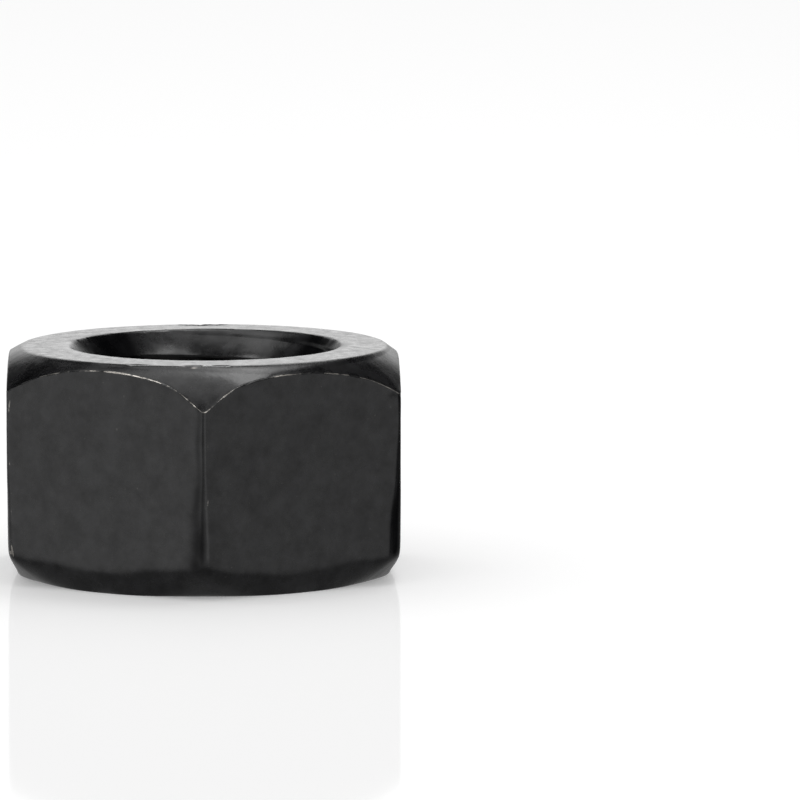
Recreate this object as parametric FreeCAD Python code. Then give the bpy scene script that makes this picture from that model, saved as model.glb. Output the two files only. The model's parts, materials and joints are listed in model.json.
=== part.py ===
import FreeCAD, Part
import math
import os

# Hexagon nut, style 1, M24 coarse thread, black forged steel.
# Frame: millimetres, +Z up along the thread axis, origin at the centre of the face it lies on.
# Two flats face +X and -X, and two corners point to +Y and -Y.

# Driving dimensions, in millimetres and degrees
across_flats = 36.0
thickness = 21.0
corner_radius = 0.5  # the forged vertical edges are slightly rounded
face_diameter = 33.4  # flat bearing ring, up to where the chamfer starts
chamfer_start_angle = 27.0  # slope of the domed chamfer where it leaves the bearing ring
chamfer_end_angle = 46.0  # slope of the same chamfer at the corners
thread_diameter = 24.0  # basic major diameter
thread_pitch = 3.0
thread_start = 2.15  # height of the first whole groove above the bottom face, on the +X side
bore_diameter = 21.2  # across the thread crests, within tolerance 6H
countersink_diameter = 25.2
countersink_angle = 90.0  # included angle of the cone at each mouth
wall_faces = 12  # the bore wall is laid out in this many faces round the axis
groove_clearance = 0.3  # how far the groove cutter stands into the open bore

# Sizes that follow from them
half_flats = across_flats / 2
corner_reach = half_flats / math.cos(math.radians(30))
bore_radius = bore_diameter / 2
countersink_radius = countersink_diameter / 2
countersink_depth = (countersink_radius - bore_radius) / math.tan(math.radians(countersink_angle / 2))
overrun = 1.5 * thread_pitch  # how far cutting tools reach past each face
axis_base = FreeCAD.Vector(0, 0, 0)
up = FreeCAD.Vector(0, 0, 1)


def hexagon_bar():
    # Solid hexagonal bar with its six vertical edges rounded
    corners = []
    for k in range(7):
        angle = math.radians(90 + 60 * k)
        corners.append(FreeCAD.Vector(corner_reach * math.cos(angle), corner_reach * math.sin(angle), 0))
    bar = Part.Face(Part.makePolygon(corners)).extrude(up * thickness)
    upright = [edge for edge in bar.Edges if abs(edge.tangentAt(edge.FirstParameter).z) > 0.99]
    return bar.makeFillet(corner_radius, upright)


def chamfer_envelope():
    # Round body whose two shoulders are the domed chamfers: each is one arc that leaves the
    # bearing ring at the start angle and reaches past the corners at the end angle
    start = math.radians(chamfer_start_angle)
    turn = math.radians(chamfer_end_angle) - start
    inner = face_diameter / 2
    outer = corner_reach
    arc_radius = (outer - inner) / (math.sin(start + turn) - math.sin(start))

    def shoulder(share):
        # (radius, drop below the face) of the point at this share of the arc's turn
        angle = start + share * turn
        reach = inner + arc_radius * (math.sin(angle) - math.sin(start))
        drop = arc_radius * (math.cos(start) - math.cos(angle))
        return reach, drop

    def on_top(share):
        reach, drop = shoulder(share)
        return FreeCAD.Vector(reach, 0, thickness - drop)

    def on_bottom(share):
        reach, drop = shoulder(share)
        return FreeCAD.Vector(reach, 0, drop)

    outline = Part.Wire([
        Part.LineSegment(axis_base, on_bottom(0)).toShape(),
        Part.Arc(on_bottom(0), on_bottom(0.5), on_bottom(1)).toShape(),
        Part.LineSegment(on_bottom(1), on_top(1)).toShape(),
        Part.Arc(on_top(1), on_top(0.5), on_top(0)).toShape(),
        Part.LineSegment(on_top(0), up * thickness).toShape(),
        Part.LineSegment(up * thickness, axis_base).toShape(),
    ])
    return Part.Face(outline).revolve(axis_base, up, 360)


def bore_core():
    # Drilled hole, made of equal slices so that its wall is a ring of narrow faces
    slice_angle = 360 / wall_faces
    length = thickness + 2 * overrun
    slices = []
    for k in range(wall_faces):
        piece = Part.makeCylinder(bore_radius, length, up * -overrun, up, slice_angle)
        piece.rotate(axis_base, up, k * slice_angle)
        slices.append(piece)
    return slices[0].multiFuse(slices[1:])


def countersink(face_height, outward):
    # Cone that opens the bore at one face; outward is +1 at the top and -1 at the bottom
    reach = countersink_depth + overrun
    widest = bore_radius + reach * math.tan(math.radians(countersink_angle / 2))
    tip = up * (face_height - outward * countersink_depth)
    return Part.makeCone(bore_radius, widest, reach, tip, up * outward)


def groove_turn():
    # One turn of the right-hand groove between the thread crests: a 60 degree section that ends
    # in a flat root, carried once round a helix
    half_root = thread_pitch / 16
    root_radius = thread_diameter / 2
    clear_radius = bore_radius - groove_clearance
    half_mouth = half_root + (root_radius - clear_radius) * math.tan(math.radians(30))
    section = Part.makePolygon([
        FreeCAD.Vector(clear_radius, 0, -half_mouth),
        FreeCAD.Vector(root_radius, 0, -half_root),
        FreeCAD.Vector(root_radius, 0, half_root),
        FreeCAD.Vector(clear_radius, 0, half_mouth),
        FreeCAD.Vector(clear_radius, 0, -half_mouth),
    ])
    helix = Part.makeHelix(thread_pitch, thread_pitch, bore_radius)
    return Part.Wire(helix.Edges).makePipeShell([section], True, True)


def tapped(nut):
    # Cut the groove turn by turn, from below the nut to above it
    turn = groove_turn()
    lowest = thread_start - 2 * thread_pitch
    turns = math.ceil((thickness + overrun - lowest) / thread_pitch)
    for k in range(turns):
        cutter = turn.copy()
        cutter.translate(up * (lowest + k * thread_pitch))
        nut = nut.cut(cutter)
    return nut


def hex_nut():
    blank = hexagon_bar().common(chamfer_envelope())
    bored = blank.cut(bore_core())
    bored = bored.cut(countersink(thickness, 1))
    bored = bored.cut(countersink(0, -1))
    return tapped(bored)


def main():
    os.makedirs("parts", exist_ok=True)
    nut = hex_nut()
    solids = nut.Solids
    if len(solids) != 1 or not nut.isValid():
        raise RuntimeError(f"the nut came out as {len(solids)} solids, valid: {nut.isValid()}")
    solids[0].exportStep("parts/hex_nut.step")
    box = solids[0].optimalBoundingBox(True)
    print(f"hex_nut {box.XLength:.2f} x {box.YLength:.2f} x {box.ZLength:.2f} mm, {solids[0].Volume:.0f} mm3")


main()
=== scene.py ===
import json
import math

import bmesh
import bpy
import numpy as np
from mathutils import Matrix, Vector, noise


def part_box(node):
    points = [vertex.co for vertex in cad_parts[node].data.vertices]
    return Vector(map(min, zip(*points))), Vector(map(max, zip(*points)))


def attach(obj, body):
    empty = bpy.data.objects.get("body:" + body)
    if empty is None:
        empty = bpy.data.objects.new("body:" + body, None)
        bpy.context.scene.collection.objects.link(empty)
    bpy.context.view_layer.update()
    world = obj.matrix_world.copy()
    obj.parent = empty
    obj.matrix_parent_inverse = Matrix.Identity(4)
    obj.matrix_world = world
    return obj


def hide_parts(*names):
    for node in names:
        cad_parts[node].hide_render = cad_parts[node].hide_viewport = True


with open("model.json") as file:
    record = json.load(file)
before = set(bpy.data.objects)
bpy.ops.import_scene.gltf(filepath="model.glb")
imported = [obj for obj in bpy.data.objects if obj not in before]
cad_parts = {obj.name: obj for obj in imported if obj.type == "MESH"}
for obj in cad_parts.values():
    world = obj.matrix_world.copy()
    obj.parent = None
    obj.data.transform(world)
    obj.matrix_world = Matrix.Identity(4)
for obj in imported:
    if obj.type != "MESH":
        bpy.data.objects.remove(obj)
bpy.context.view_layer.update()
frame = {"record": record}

mm = 0.001
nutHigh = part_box("hex_nut")[1]
threadMount = next(m for m in frame["record"]["mounts"] if m["name"] == "thread")


# Small helpers

def srgb(hexColour):
    # sRGB hex to the linear colour that shaders take
    channels = [int(hexColour[i:i + 2], 16) / 255 for i in (1, 3, 5)]
    return [c / 12.92 if c <= 0.04045 else ((c + 0.055) / 1.055) ** 2.4 for c in channels] + [1]


def perMetre(sizeInMm):
    # scale of a noise whose features are about this wide
    return 1 / (sizeInMm * mm)


def addNode(tree, kind, settings=None, links=None):
    # settings: socket name or number, or node property, to value
    # links: socket to another node, which gives its first output, or to one of its outputs
    node = tree.nodes.new(kind)
    for key, value in (settings or {}).items():
        if isinstance(key, int) or key in node.inputs:
            node.inputs[key].default_value = value
        else:
            setattr(node, key, value)
    for key, source in (links or {}).items():
        output = source.outputs[0] if isinstance(source, bpy.types.Node) else source
        tree.links.new(output, node.inputs[key])
    return node


def smoothStep(low, high, value):
    share = np.clip((value - low) / (high - low), 0, 1)
    return share * share * (3 - 2 * share)


def degreesFrom(angles, azimuth):
    # how far each angle (radians) is from this azimuth (degrees)
    return np.abs((np.degrees(angles) - azimuth + 180) % 360 - 180)


def byCorner(values, angles):
    # the value that belongs to the upright edge nearest each angle, the first being at 30 degrees
    return np.array(values)[np.floor(angles / (math.pi / 3)).astype(int) % 6]


def ripple(points, size, seed, octaves=2):
    # smooth noise from about -1 to 1 at each point, features about size mm wide
    shift = Vector((seed * 7.31, seed * 3.17, seed * 5.53))
    values = np.empty(len(points))
    for i, point in enumerate(points):
        values[i] = noise.fractal(Vector(point) / size + shift, 1.0, 2.0, octaves)
    return values


# The nut: one closed skin, made of a section that is carried round the thread's axis. Sizes here are in mm.

nut = {
    "inside": 0.03,  # the forged flats lie this far inside the nominal size, so no bump stands past it
    "landRadius": 16.7,  # the flat bearing ring ends here and the chamfer starts
    "landShift": (0.15, -60),  # the ring sits this much off centre, towards this azimuth in degrees
    "chamferStart": 27,  # slope of the domed chamfer at the ring, in degrees
    "chamferEnd": 48,  # and at the corners
    "chamferLean": 0.14,  # the top chamfer is cut this much deeper on the +X side
    # the chamfer dips at the upright edges, from the one at 30 degrees on
    "cornerDips": (0.2, 0.45, 0.35, 0.15, 0.75, 0.15),
    "cornerTop": 0.5,  # radius of the upright edges near the top
    # the same low down, where the die has left them rounder, from the edge at 30 degrees on
    "cornerBottom": (1.5, 1.8, 1.4, 1.6, 1.5, 2.7),
    "landEdge": 0.45,  # rounding where ring and chamfer meet
    "landWorn": (0.7, -66, 34),  # extra rounding, at this azimuth and this many degrees to each side
    "topEdge": 0.28,  # rounding where the top chamfer meets the flats
    # low down, the flats lean in from these heights: one for each 30 degrees, starting at +X
    "skirtLine": (2.2, 2.6, 1.9, 2.7, 2.2, 2.5, 2.1, 2.7, 2.2, 2.8, 2.0, 2.7),
    "skirtLean": 21,  # degrees in from upright
    "underRadius": 17.3,  # lower bearing ring
    "underSlope": 36,  # of the lower chamfer, in degrees from horizontal
    "mouthEdge": 0.16,  # rounding where the bearing ring breaks into the countersink
    "mouthRadius": 12.6,
    "mouthShift": 0.16,  # the countersink sits this much towards +X
    "rootRadius": 12.0,  # bottom of the thread's groove
    "pitch": 3.0,
    "threadTurn": -0.37,  # where the thread starts, as a share of a turn from +X
    "countersinkSlope": 45,  # at the mouth, in degrees from horizontal
    "countersinkDome": 0.08,  # how much it steepens on the way down, in mm per mm squared
    "crestWear": 0.66,  # wear of the thread's crests
    "coneWear": 0.2,  # and of the countersink
    "rimWear": 1.2,  # where the countersink meets the first crest
    "coneEnd": 0.3,  # rounding where the countersink runs out into the thread
    "columnsPerSide": 62,
    "cornerCrowding": 0.72,  # columns this much closer at the corners
    "flatRows": 54,
    "forgedWave": 0.035,  # how far the forged faces wander
    "forgedRough": 0.009,  # the same for the scale
    "boreWave": 0.02,  # and for the thread
    # shallow die mark beside each upright edge, from the one at 30 degrees on: how far from the edge, how
    # strong, which also sets the painted shade along it, and whether the edge itself is worn bright, with a
    # bare-steel ridge that partly stands in for a highlight
    "grooves": ((0.45, 0.8, 1), (0.5, 0.6, 1), (0.4, 1.0, 1), (0.55, 0.7, 1), (0.45, 1.0, 1), (0.0, 2.2, 0)),
    "grooveDepth": 0.06,
    "shadedMouth": ((147, 26), (14, 28)),  # painted shade in the upper countersink: azimuth, degrees to each side
    "paintedHighlights": {  # bare-steel spots painted in as highlights on the low corners: place, size and wear
        "low left corner": ((-17.4, -10.2, 3.3), (0.55, 0.5, 0.6), 0.95),
        "low right corner": ((17.2, -9.9, 2.2), (0.6, 0.6, 0.4), 1.0),
    },
    "edgeNicks": 0.07,  # depth of the small knocks along the top edges
    "dents": 40,
    "rubbed": (-105, 19, 0.42),  # degrees round, degrees to each side, extra wear of the top edge
    "cuts": {  # place, size and depth
        "back rim": ((0.2, 16.0, 21), (1.7, 0.5, 1), 0.42),
        "front rim, left": ((-0.9, -16.6, 21), (0.8, 0.2, 1), 0.2),
        "front rim, right": ((1.6, -16.55, 21), (1.0, 0.18, 1), 0.16),
        "front rim, far left": ((-5.9, -15.4, 21), (1.1, 0.3, 1), 0.12),
        "top corner": ((17.4, -9.9, 17.5), (0.9, 1.2, 0.2), 0.1),
    },
    "seed": 4,
}


def outlineRadius(angles, halfFlats, cornerRadius):
    # distance from the axis to the rounded hexagon, flats facing +X and -X
    sixth = math.pi / 3
    fromFlat = (angles + sixth / 2) % sixth - sixth / 2
    flat = halfFlats / np.cos(fromFlat)
    cornerCentre = (halfFlats - cornerRadius) / math.cos(sixth / 2)
    fromCorner = np.abs(fromFlat) - sixth / 2
    inside = np.maximum(cornerRadius ** 2 - (cornerCentre * np.sin(fromCorner)) ** 2, 0)
    rounded = cornerCentre * np.cos(fromCorner) + np.sqrt(inside)
    meets = np.arctan2((halfFlats - cornerRadius) * math.tan(sixth / 2), halfFlats)
    return np.where(np.abs(fromFlat) > meets, rounded, flat)


def columnAngles(spec, halfFlats):
    # closer together round the corners than along the flats
    steps = np.arange(spec["columnsPerSide"]) / spec["columnsPerSide"]
    eased = steps - spec["cornerCrowding"] * np.sin(2 * math.pi * steps) / (2 * math.pi)
    side = math.tan(math.pi / 6)
    within = np.arctan((2 * eased - 1) * side)
    return np.concatenate([within + k * math.pi / 3 for k in range(6)])


def chamferDrop(radius, spec, reach):
    # height lost by the domed chamfer at this radius: one arc from the ring to past the corners
    start, end = math.radians(spec["chamferStart"]), math.radians(spec["chamferEnd"])
    arc = (reach - spec["landRadius"]) / (math.sin(end) - math.sin(start))
    sine = math.sin(start) + np.maximum(radius - spec["landRadius"], 0) / arc
    slope = np.arcsin(np.clip(sine, 0, 0.98))
    return arc * (math.cos(start) - np.cos(slope)), slope


def mouthOutline(spec, angles):
    # where the bearing ring breaks into the countersink
    return spec["mouthRadius"] + spec["mouthEdge"] * 0.6 + spec["mouthShift"] * np.cos(angles)


def topRows(spec, angles, outline, reach):
    # from the mouth out over the ring and the chamfer to the flats, as (radius, depth below the top, wear)
    ones = np.ones_like(angles)
    drop, slope = chamferDrop(outline, spec, reach)
    lean = spec["chamferLean"] * np.cos(angles) + 0.06 * np.cos(2 * angles + 1.1)
    dip = byCorner(spec["cornerDips"], angles) * smoothStep(reach - 1.7, reach, outline) * 1.02
    mouth = mouthOutline(spec, angles)
    shift, towards = spec["landShift"]
    land = spec["landRadius"] + shift * np.cos(angles - math.radians(towards))
    extra, azimuth, spread = spec["landWorn"]
    rounding = spec["landEdge"] + extra * smoothStep(spread, 0, degreesFrom(angles, azimuth))
    landEnd, landOut = land - rounding * 0.35, land + rounding
    edge = spec["topEdge"]
    chamferEnd = np.maximum(outline - edge * (1 - np.sin(slope)), landOut + 0.05)
    pastRing = chamferDrop(landOut, spec, reach)[0]
    rows = []
    for share in 1 - np.linspace(1, 0, 18) ** 1.5:
        wear = 0.7 * max(0, 1 - share * 12) + 0.35 * smoothStep(0.85, 1, share)
        rows.append((mouth + share * (landEnd - mouth), ones * 0.0, ones * wear))
    for share in (0.25, 0.5, 0.75):
        radius = landEnd + share * (landOut - landEnd)
        rows.append((radius, (pastRing + lean * 0.3) * share ** 2, ones * 0.65))
    for share in np.linspace(0, 1, 13)[:-1]:
        radius = landOut + share * (chamferEnd - landOut)
        depth = chamferDrop(radius, spec, reach)[0] + lean * (0.3 + 0.7 * share) + dip * share ** 2
        rows.append((radius, depth, ones * 0.0))
    edgeDepth = drop + lean + dip + edge * (1 - np.sin(slope)) / np.cos(slope)
    for turn in np.linspace(1, 0, 8):
        alpha = turn * (math.pi / 2 - slope)
        radius = np.maximum(outline - edge + edge * np.cos(alpha), chamferEnd)
        rows.append((radius, edgeDepth - edge * np.sin(alpha), ones * math.sin(math.pi * turn)))
    return rows, edgeDepth


def underRows(spec, angles, outline):
    # the same underneath: ring, lower chamfer and leaning skirt are one curve up to the flats
    ones = np.ones_like(angles)
    mouth = mouthOutline(spec, angles)
    ring = spec["underRadius"]
    line = spec["skirtLine"]
    knots = np.arange(len(line)) * 2 * math.pi / len(line)
    start = np.interp(angles, knots, line, period=2 * math.pi)
    start += 0.16 * np.sin(7 * angles + 0.8) + 0.07 * np.sin(23 * angles)
    inward = math.tan(math.radians(spec["skirtLean"]))
    rise = math.tan(math.radians(spec["underSlope"]))
    kneeHeight = rise * (outline - ring - start * inward) / (1 - rise * inward)
    kneeHeight = np.maximum(kneeHeight, 0.05)
    kneeRadius = outline - (start - kneeHeight) * inward
    rows = []
    for share in np.linspace(0, 1, 9):
        rows.append((mouth + share * (ring - mouth), ones * 0.0, ones * 0.0))
    for share in np.linspace(0, 1, 22)[1:]:
        a, b, c = (1 - share) ** 2, 2 * share * (1 - share), share ** 2
        radius = a * ring + b * kneeRadius + c * outline
        height = b * kneeHeight + c * start
        rows.append((radius, height, ones * 0.6 * smoothStep(0.9, 1, share)))
    return rows, start


def softened(values, passes):
    # rows drawn towards their neighbours, which rounds the creases between them
    values = values.copy()
    for _ in range(passes):
        values[1:-1] = 0.25 * values[:-2] + 0.5 * values[1:-1] + 0.25 * values[2:]
    return values


def outerRows(spec, angles, halfFlats, thickness):
    # rows from the lower mouth, out under the nut, up the flats and in over the top to the upper mouth
    reach = halfFlats / math.cos(math.pi / 6)
    topOutline = outlineRadius(angles, halfFlats, spec["cornerTop"])
    blunt = byCorner(spec["cornerBottom"], angles)
    lowOutline = outlineRadius(angles, halfFlats, blunt)
    top, topStart = topRows(spec, angles, topOutline, reach)
    rows, flatStart = underRows(spec, angles, lowOutline)
    for share in np.linspace(0, 1, spec["flatRows"] + 2)[1:-1]:
        height = flatStart + share * (thickness - topStart - flatStart)
        corner = spec["cornerTop"] + (blunt - spec["cornerTop"]) * smoothStep(0.75, 0, share)
        rows.append((outlineRadius(angles, halfFlats, corner), height, np.zeros_like(angles)))
    outside = np.array(rows)
    atCorner = smoothStep(0.3, 1, (lowOutline - halfFlats) / (lowOutline.max() - halfFlats))
    above = smoothStep(12, 22, np.arange(len(outside)))[:, None]
    for part in (0, 1):
        crisp, smooth = softened(outside[:, part], 3), softened(outside[:, part], 24)
        outside[:, part] = crisp + (smooth - crisp) * atCorner * above
    inwards = [(radius, thickness - depth, wear) for radius, depth, wear in reversed(top)]
    return np.concatenate([outside, np.array(inwards)])


def threadPhases():
    # where the rows of one pitch lie: closer at the root's and the crest's edges
    root, flank = 0.0625, 0.3325
    shares = [0, root * 0.8, root * 1.2]
    shares += [root + (flank - root) * s for s in (0.35, 0.7, 0.94)]
    shares += [flank + 0.015, 0.4]
    mirrored = [1 - s for s in reversed(shares[1:])]
    return np.array(shares + [0.5] + mirrored)


def threadRadius(phase, spec, crest):
    # wall radius at this share of the pitch away from the middle of the groove
    away = np.abs((phase + 0.5) % 1 - 0.5) * spec["pitch"]
    flank = spec["rootRadius"] - (away - spec["pitch"] / 16) * math.tan(math.radians(60))
    return np.clip(flank, crest, spec["rootRadius"])


def buildNut(spec):
    halfFlats = nutHigh.x / mm - spec["inside"]
    thickness = nutHigh.z / mm
    crest = threadMount["dims"]["r_mm"]
    angles = columnAngles(spec, halfFlats)
    columns = len(angles)
    rows = outerRows(spec, angles, halfFlats, thickness)
    slope = math.tan(math.radians(spec["countersinkSlope"]))
    mouth = mouthOutline(spec, angles)

    outerCount = len(rows)
    radius, height, wear = rows[:, 0], rows[:, 1], rows[:, 2]

    phases = threadPhases()
    perPitch = len(phases)
    first = -perPitch
    last = (int(math.ceil(thickness / spec["pitch"])) + 1) * perPitch
    boreRadius, boreHeight, boreWear = [], [], []
    for k in range(first, last + 1):
        phase = phases[k % perPitch]
        turn = k // perPitch
        rawHeight = spec["pitch"] * (angles / (2 * math.pi) + turn + phase + spec["threadTurn"])
        z = np.clip(rawHeight, 0, thickness)
        edgeDepth = np.minimum(z, thickness - z)
        fall = np.minimum(edgeDepth, 4)
        cone = mouth - spec["mouthEdge"] * 0.6 - fall / slope + spec["countersinkDome"] * fall ** 2
        wall = threadRadius(np.full(columns, phase), spec, crest)
        soft = spec["coneEnd"]
        mix = np.clip(0.5 + 0.5 * (cone - wall) / soft, 0, 1)
        r = wall * (1 - mix) + cone * mix + soft * mix * (1 - mix)
        r = np.where(edgeDepth < 1e-6, mouth, r)
        crestness = smoothStep(0.30, 0.36, abs((phase + 0.5) % 1 - 0.5))
        boreRadius.append(r)
        boreHeight.append(z)
        onCrest, onCone, between = crestness * (1 - mix), mix, mix * (1 - mix) * (wall < crest + 0.2)
        boreWear.append(spec["crestWear"] * onCrest + spec["coneWear"] * onCone + spec["rimWear"] * between)
    radius = np.vstack([radius, boreRadius])
    height = np.vstack([height, boreHeight])
    wear = np.vstack([wear, boreWear])

    points = np.stack([radius * np.cos(angles), radius * np.sin(angles), height], axis=-1).reshape(-1, 3)
    faces = []

    def at(row, column):
        return row * columns + column % columns

    for row in range(outerCount - 1):
        for column in range(columns):
            beside, above = column + 1, row + 1
            faces.append((at(row, column), at(row, beside), at(above, beside), at(above, column)))
    boreRows = last - first + 1
    for k in range(boreRows - 1):
        for column in range(columns):
            a, b = outerCount + k, outerCount + k + 1
            if column < columns - 1:
                faces.append((at(a, column), at(b, column), at(b, column + 1), at(a, column + 1)))
            elif b + perPitch < outerCount + boreRows:
                faces.append((at(a, column), at(b, column), at(b + perPitch, 0), at(a + perPitch, 0)))
    return points, faces, wear.reshape(-1)


def fromMesh(mesh, collection, name, width):
    values = np.empty(len(collection) * width)
    collection.foreach_get(name, values)
    return values.reshape(-1, width) if width > 1 else values


def addRelief(mesh, spec):
    # forged and handled surface: slow waves, scale, die marks beside the corners, dents and cuts, with
    # painted shade along the die marks, in the cuts and in the upper countersink
    points = fromMesh(mesh, mesh.vertices, "co", 3) / mm
    normals = fromMesh(mesh, mesh.vertex_normals, "vector", 3)
    wear = fromMesh(mesh, mesh.attributes["wear"].data, "value", 1)
    radius = np.hypot(points[:, 0], points[:, 1])
    height = points[:, 2].copy()
    outside = smoothStep(spec["mouthRadius"] + 0.4, spec["mouthRadius"] + 0.9, radius)
    faced = smoothStep(0.96, 0.985, np.abs(normals[:, 2])) * outside
    forged = outside * (1 - 0.25 * faced)
    depth = forged * spec["forgedWave"] * ripple(points, 9, spec["seed"])
    depth += forged * spec["forgedRough"] * ripple(points, 1.6, spec["seed"] + 1, 3)
    depth += (1 - outside) * spec["boreWave"] * ripple(points, 1.1, spec["seed"] + 2)

    angle = np.arctan2(points[:, 1], points[:, 0])
    paintedShade = np.zeros_like(radius)
    mottle = ripple(points, 2.5, spec["seed"] + 3)
    random = np.random.default_rng(spec["seed"])
    upright = (radius > 18.4) * (np.abs(normals[:, 2]) < 0.4)
    for k in range(6):
        corner = math.pi / 6 + k * math.pi / 3
        away = (angle - corner + math.pi) % (2 * math.pi) - math.pi
        across = radius * np.sin(away)
        low = smoothStep(14, 4, height)
        aside, strength, rubbed = spec["grooves"][k]
        centre = 0.09 * np.sin(1.1 * height + 2 * k) - aside - 0.25 * low
        width = 0.2 + 0.38 * low
        groove = np.exp(-((across - centre) / width) ** 2) * (0.45 + 0.55 * low)
        groove *= smoothStep(2.2, 3.4, height) * upright * (np.abs(away) < 0.25)
        depth -= spec["grooveDepth"] * strength * groove
        # painted shade along the die mark, thicker low down
        paintedShade = np.maximum(paintedShade, np.minimum(strength * groove * (0.75 + 0.25 * mottle), 1))
        # a bare-steel ridge beside the edge: partly wear, partly a painted highlight for the light line the
        # rounded edge reflects
        highlightRidge = np.exp(-((across - 0.3 - 0.09 * np.sin(1.7 * height + k)) / 0.15) ** 2)
        highlightRidge *= upright * (np.abs(away) < 0.1)
        wear = np.maximum(wear, rubbed * highlightRidge * (random.uniform(0.76, 0.9) + 0.4 * mottle))

    flats = forged * (np.abs(normals[:, 2]) < 0.3)
    for _ in range(spec["dents"]):
        around, level = random.uniform(-math.pi, math.pi), random.uniform(3.5, 18)
        size, deep = random.uniform(0.25, 0.9), random.uniform(0.01, 0.045)
        place = np.array([math.cos(around) * 18.6, math.sin(around) * 18.6, level])
        distance = np.linalg.norm((points - place) * [1, 1, random.uniform(0.5, 1.6)], axis=1)
        depth -= flats * deep * np.exp(-(np.maximum(distance - 0.6, 0) / size) ** 2)

    ragged = ripple(points, 0.6, spec["seed"] + 4)
    for place, size, deep in spec["cuts"].values():
        inside = np.exp(-(np.linalg.norm((points - place) / size, axis=1) * (1 + 0.45 * ragged)) ** 4)
        depth -= deep * inside
        # painted shade in the cuts
        paintedShade = np.maximum(paintedShade, 0.6 * inside)

    # painted shade in the upper countersink
    for azimuth, spread in spec["shadedMouth"]:
        mouthShade = smoothStep(spread, spread * 0.75, degreesFrom(angle, azimuth)) * (1 - outside)
        paintedShade = np.maximum(paintedShade, 0.85 * mouthShade * smoothStep(16, 18, height))

    # bare-steel spots that stand in for highlights on the low corner fillets
    for place, size, strength in spec["paintedHighlights"].values():
        wear += strength * np.exp(-np.linalg.norm((points - place) / size, axis=1) ** 4)

    azimuth, spread, extra = spec["rubbed"]
    edge = smoothStep(0.3, 0.8, wear) * (height > 15) * (radius > 17.9)
    rubbed = smoothStep(spread, spread * 0.6, degreesFrom(angle, azimuth)) * (0.7 + 1.6 * ragged)
    wear += extra * edge * rubbed
    depth -= spec["edgeNicks"] * edge * smoothStep(0.1, 0.6, ragged)

    points += normals * depth[:, None]
    points[:, 2] = np.clip(points[:, 2], 0, nutHigh.z / mm)
    mesh.vertices.foreach_set("co", (points * mm).reshape(-1))
    mesh.attributes["wear"].data.foreach_set("value", wear)
    for name, values in {"paintedShade": paintedShade, "faced": faced}.items():
        mesh.attributes.new(name, "FLOAT", "POINT").data.foreach_set("value", values)
    mesh.update()


def makeNut(spec):
    points, faces, wear = buildNut(spec)
    mesh = bpy.data.meshes.new("hex_nut_body")
    mesh.from_pydata((points * mm).tolist(), [], faces)
    mesh.attributes.new("wear", "FLOAT", "POINT").data.foreach_set("value", wear)
    shell = bmesh.new()
    shell.from_mesh(mesh)
    bmesh.ops.remove_doubles(shell, verts=shell.verts, dist=0.002 * mm)
    bmesh.ops.dissolve_degenerate(shell, edges=shell.edges, dist=0.001 * mm)
    bmesh.ops.recalc_face_normals(shell, faces=shell.faces)
    shell.to_mesh(mesh)
    openEdges = sum(not edge.is_manifold for edge in shell.edges)
    shell.free()
    mesh.shade_smooth()
    addRelief(mesh, spec)
    body = bpy.data.objects.new("hex_nut_body", mesh)
    bpy.context.scene.collection.objects.link(body)
    print("nut:", len(mesh.polygons), "faces,", openEdges, "open edges")
    return body


# Finish of the nut

oxide = {
    "deep": "#050506",
    "pale": "#141416",
    "bareSteel": "#a39f99",
    "clouds": {  # feature size in mm, and detail
        "patches": (2.4, 5.0),  # left by the blackening bath
        "grain": (0.35, 3.0),  # forging scale and tumbling marks
        "pits": (1.3, 4.0),
        "turning": (0.6, 4.0),  # broken marks of the turning tool on the bearing faces
    },
    "chipping": 1.6,  # how far patches and pits decide where worn edges show steel
    "bareFrom": (2.55, 2.75),  # wear at which the steel starts to show, and shows fully
    "bareShare": 0.9,
    "specksFrom": (0.7, 0.78),
    "speckShare": 0.12,
    "cloudy": (0.7, 1.3),
    # how far the painted shade darkens the skin and dulls its sheen
    "paintedShadeDims": 0.9,
    "roughness": (0.2, 0.34),
    "facedRoughness": (0.22, 0.38),  # bearing faces, turned smooth before blackening
    "sheen": (0.42, 0.58),
    "grainRelief": 0.35,  # against the pits
    "reliefDepth": 0.05,  # mm
}


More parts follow.
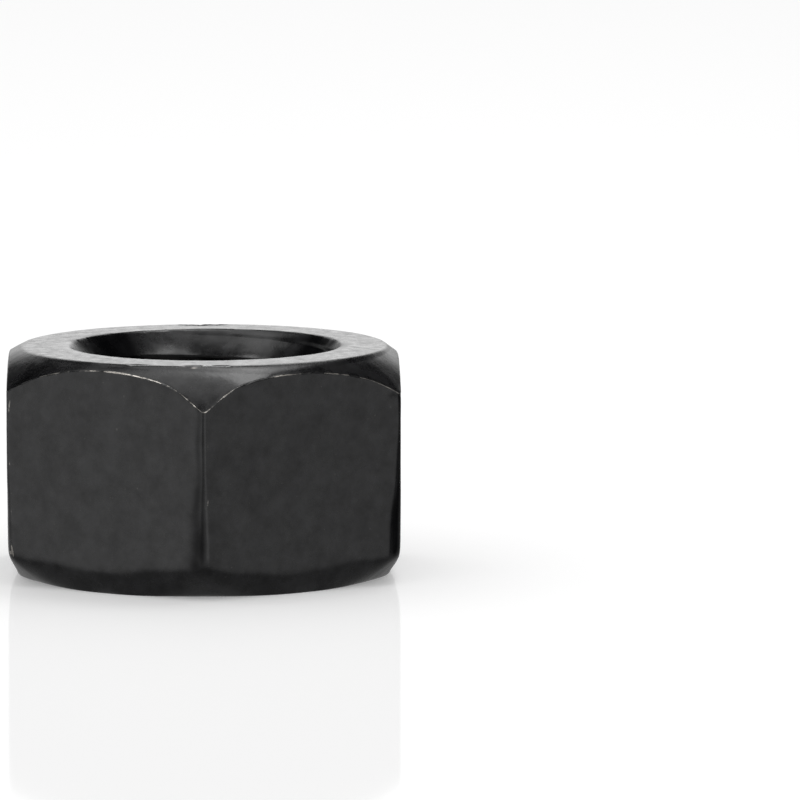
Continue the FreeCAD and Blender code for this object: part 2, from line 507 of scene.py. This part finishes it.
def blackOxideSteel(spec):
    # Black oxide on hot-forged carbon steel, tumbled, blackened in a hot bath and oiled. The eye gets a
    # near-black skin with a soft sheen, cloudy patches, fine scale grain and bare steel on the edges.
    material = bpy.data.materials.new("black_oxide_steel")
    material.use_nodes = True
    tree = material.node_tree
    tree.nodes.clear()
    place = addNode(tree, "ShaderNodeTexCoord").outputs["Object"]
    cloud = {}
    for name, (size, detail) in spec["clouds"].items():
        cloud[name] = addNode(tree, "ShaderNodeTexNoise",
                              {"Scale": perMetre(size), "Detail": detail, "Roughness": 0.6},
                              {"Vector": place}).outputs["Fac"]
    painted = {}
    for name in ("wear", "paintedShade", "faced"):
        painted[name] = addNode(tree, "ShaderNodeAttribute", {"attribute_name": name}).outputs["Fac"]

    # where steel shows through
    blotches = addNode(tree, "ShaderNodeMath", {"operation": "ADD"},
                       {0: cloud["patches"], 1: cloud["pits"]})
    chipped = addNode(tree, "ShaderNodeMath", {"operation": "MULTIPLY_ADD", 1: spec["chipping"]},
                      {0: blotches, 2: painted["wear"]})
    low, high = spec["bareFrom"]
    rubbed = addNode(tree, "ShaderNodeMapRange",
                     {"From Min": low, "From Max": high, "To Max": spec["bareShare"]}, {"Value": chipped})
    low, high = spec["specksFrom"]
    specks = addNode(tree, "ShaderNodeMapRange",
                     {"From Min": low, "From Max": high, "To Max": spec["speckShare"]},
                     {"Value": cloud["grain"]})
    bare = addNode(tree, "ShaderNodeMath", {"operation": "MAXIMUM"}, {0: rubbed, 1: specks})

    # colour of the skin, darker where shade is painted in
    low, high = spec["cloudy"]
    cloudy = addNode(tree, "ShaderNodeMapRange", {"From Min": low, "From Max": high}, {"Value": blotches})
    shadeAmount = addNode(tree, "ShaderNodeMath", {"operation": "MULTIPLY", 1: spec["paintedShadeDims"]},
                   {0: painted["paintedShade"]})
    unshaded = addNode(tree, "ShaderNodeMath", {"operation": "SUBTRACT", 0: 1.0}, {1: shadeAmount})
    tint = addNode(tree, "ShaderNodeMath", {"operation": "MULTIPLY"}, {0: cloudy, 1: unshaded})
    skin = addNode(tree, "ShaderNodeMix",
                   {"data_type": "RGBA", 6: srgb(spec["deep"]), 7: srgb(spec["pale"])}, {0: tint})
    colour = addNode(tree, "ShaderNodeMix", {"data_type": "RGBA", 7: srgb(spec["bareSteel"])},
                     {0: bare, 6: skin.outputs[2]})

    # gloss
    smooth, matt = spec["roughness"]
    forged = addNode(tree, "ShaderNodeMapRange",
                     {"From Min": 0.3, "From Max": 0.7, "To Min": smooth, "To Max": matt},
                     {"Value": cloud["patches"]})
    marks = addNode(tree, "ShaderNodeMath", {"operation": "ADD"},
                    {0: cloud["turning"], 1: cloud["pits"]})
    smooth, matt = spec["facedRoughness"]
    faced = addNode(tree, "ShaderNodeMapRange",
                    {"From Min": 0.75, "From Max": 1.25, "To Min": smooth, "To Max": matt}, {"Value": marks})
    rough = addNode(tree, "ShaderNodeMix", {"data_type": "FLOAT"},
                    {0: painted["faced"], 2: forged, 3: faced})
    low, high = spec["sheen"]
    oil = addNode(tree, "ShaderNodeMapRange", {"To Min": low, "To Max": high}, {"Value": cloudy})
    # painted shade also dulls the sheen
    sheen = addNode(tree, "ShaderNodeMath", {"operation": "MULTIPLY"}, {0: oil, 1: unshaded})

    relief = addNode(tree, "ShaderNodeMath", {"operation": "MULTIPLY_ADD", 1: spec["grainRelief"]},
                     {0: cloud["grain"], 2: cloud["pits"]})
    bump = addNode(tree, "ShaderNodeBump", {"Strength": 0.4, "Distance": spec["reliefDepth"] * mm},
                   {"Height": relief})
    shader = addNode(tree, "ShaderNodeBsdfPrincipled", {},
                     {"Base Color": colour.outputs[2], "Metallic": bare, "Roughness": rough,
                      "Specular IOR Level": sheen, "Normal": bump})
    addNode(tree, "ShaderNodeOutputMaterial", {}, {"Surface": shader})
    return material


body = makeNut(nut)
body.data.materials.append(blackOxideSteel(oxide))
print("finish:", body.data.materials[0].name)
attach(body, "root")
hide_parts("hex_nut")


# Floor, camera and light

studio = {
    "floor": 6.0,  # m across
    "floorColour": "#e6e6e6",
    "floorGlow": 0.28,  # light that comes up through the sheet
    "floorGloss": 0.09,
    "floorRoughness": 0.06,
    "cameraDistance": 0.65,  # m from the thread's axis
    "cameraElevation": 6.66,  # degrees above the nut's top face
    "lens": 318.6,
    "aimAside": 1.60,  # degrees to the right of the nut
    "aimUp": 0.458,  # degrees above its middle
    "white": 1.05,
    "boxPlace": (0.15, 0.16, 0.75),
    "boxSize": (0.22, 0.22),
    "boxGlow": 3.8,  # radiance, where the white surround is 1
    "gloss": 0.9,  # radiance of what the nut mirrors, except for the things below
    "mirrored": {  # towards, full within this many degrees, gone past this many, radiance
        "left wall": ((-0.9, -0.45, -0.1), 20, 55, 1.3),
        "floor under the nut": ((0, 0, -1), 50, 80, 0.3),
        "ceiling": ((0, 0, 1), 60, 80, 0.09),
        "bright back wall": ((0.03, 1, 0.36), 3, 20, 2.6),
        "fill light": ((-0.15, 0.08, 0.97), 20, 33, 1.6),
        "side light": ((-0.47, -0.06, 0.88), 7, 17, 2.6),
        "rear light": ((0.12, 0.44, 0.89), 6, 16, 3.0),
        "dark beam, right": ((0.63, 0.52, 0.58), 12, 24, 0.0),
        "dark beam, left": ((-0.54, 0.68, 0.48), 11, 22, 0.0),
        "skylight": ((0.48, -0.42, 0.77), 8, 17, 5.0),
        "left window": ((-0.64, -0.5, 0.59), 8, 15, 5.0),
        "right window": ((0.33, -0.67, 0.66), 6, 20, 3.0),
        "dark goods on the right": ((0.88, 0.47, -0.1), 27, 42, 0.08),
        "shade on the left": ((-0.75, 0.35, -0.5), 18, 35, 0.35),
        "shade on the right": ((0.75, 0.35, -0.6), 16, 32, 0.35),
        "shade behind, left": ((-0.3, 0.9, -0.3), 9, 19, 0.4),
        "shade behind, right": ((0.3, 0.9, -0.3), 9, 19, 0.4),
        "dark stand in front": ((-0.42, -0.9, 0), 9, 24, 0.4),
        "right strip light": ((0.4, -0.9, 0), 7, 18, 1.9),
    },
}


def whiteFloor(spec):
    # White acrylic sheet, polished and lit from below: a faint mirror image and a pale contact shadow.
    # The nut mirrors the studio below in its place.
    half = spec["floor"] / 2
    mesh = bpy.data.meshes.new("floor")
    corners = [(-half, -half, 0), (half, -half, 0), (half, half, 0), (-half, half, 0)]
    mesh.from_pydata(corners, [], [(0, 1, 2, 3)])
    floor = bpy.data.objects.new("floor", mesh)
    bpy.context.scene.collection.objects.link(floor)
    material = bpy.data.materials.new("white_acrylic_sheet")
    material.use_nodes = True
    tree = material.node_tree
    tree.nodes.clear()
    matt = addNode(tree, "ShaderNodeBsdfDiffuse", {"Color": srgb(spec["floorColour"])})
    glow = addNode(tree, "ShaderNodeEmission", {"Strength": spec["floorGlow"]})
    lit = addNode(tree, "ShaderNodeAddShader", {}, {0: matt, 1: glow})
    gloss = addNode(tree, "ShaderNodeBsdfGlossy", {"Roughness": spec["floorRoughness"]})
    sheet = addNode(tree, "ShaderNodeMixShader", {"Fac": spec["floorGloss"]}, {1: lit, 2: gloss})
    addNode(tree, "ShaderNodeOutputMaterial", {}, {"Surface": sheet})
    mesh.materials.append(material)
    floor.visible_glossy = False


def softbox(name, place, size, glow):
    # a rectangle of soft light, aimed at the nut
    light = bpy.data.lights.new(name, "AREA")
    light.shape = "RECTANGLE"
    light.size, light.size_y = size
    light.energy = glow * math.pi * size[0] * size[1]
    lamp = bpy.data.objects.new(name, light)
    lamp.location = place
    lamp.rotation_euler = (Vector((0, 0, nutHigh.z)) - Vector(place)).to_track_quat("-Z", "Y").to_euler()
    lamp.visible_camera = False
    bpy.context.scene.collection.objects.link(lamp)


def paleSurround(spec):
    # White on every side for the eye and for the floor. Gloss sees the studio itself.
    world = bpy.data.worlds.new("surround")
    world.use_nodes = True
    tree = world.node_tree
    tree.nodes.clear()
    way = addNode(tree, "ShaderNodeTexCoord").outputs["Generated"]
    seen = addNode(tree, "ShaderNodeValue")
    seen.outputs[0].default_value = spec["gloss"]
    for towards, full, gone, radiance in spec["mirrored"].values():
        near = addNode(tree, "ShaderNodeVectorMath",
                       {"operation": "DOT_PRODUCT", 1: Vector(towards).normalized()}, {0: way})
        share = addNode(tree, "ShaderNodeMapRange",
                        {"From Min": math.cos(math.radians(gone)), "From Max": math.cos(math.radians(full)),
                         "interpolation_type": "SMOOTHSTEP"}, {"Value": near.outputs["Value"]})
        seen = addNode(tree, "ShaderNodeMix", {"data_type": "FLOAT", 3: radiance}, {0: share, 2: seen})
    ray = addNode(tree, "ShaderNodeLightPath")
    strength = addNode(tree, "ShaderNodeMix", {"data_type": "FLOAT", 2: spec["white"]},
                       {0: ray.outputs["Is Glossy Ray"], 3: seen})
    glow = addNode(tree, "ShaderNodeBackground", {}, {"Strength": strength})
    addNode(tree, "ShaderNodeOutputWorld", {}, {"Surface": glow})
    bpy.context.scene.world = world


def makeCamera(spec):
    data = bpy.data.cameras.new("camera")
    data.lens = spec["lens"]
    data.clip_start, data.clip_end = 0.01, 50
    camera = bpy.data.objects.new("camera", data)
    bpy.context.scene.collection.objects.link(camera)
    top = nutHigh.z + spec["cameraDistance"] * math.tan(math.radians(spec["cameraElevation"]))
    camera.location = (0, -spec["cameraDistance"], top)
    drop = math.degrees(math.atan2(top - nutHigh.z / 2, spec["cameraDistance"]))
    pitch = math.radians(90 - drop + spec["aimUp"])
    camera.rotation_euler = (pitch, 0, -math.radians(spec["aimAside"]))
    bpy.context.scene.camera = camera


whiteFloor(studio)
makeCamera(studio)
paleSurround(studio)
softbox("overhead_box", studio["boxPlace"], studio["boxSize"], studio["boxGlow"])
bpy.context.scene.view_settings.view_transform = "Standard"

print("studio:", len(studio["mirrored"]), "things for the steel to mirror")
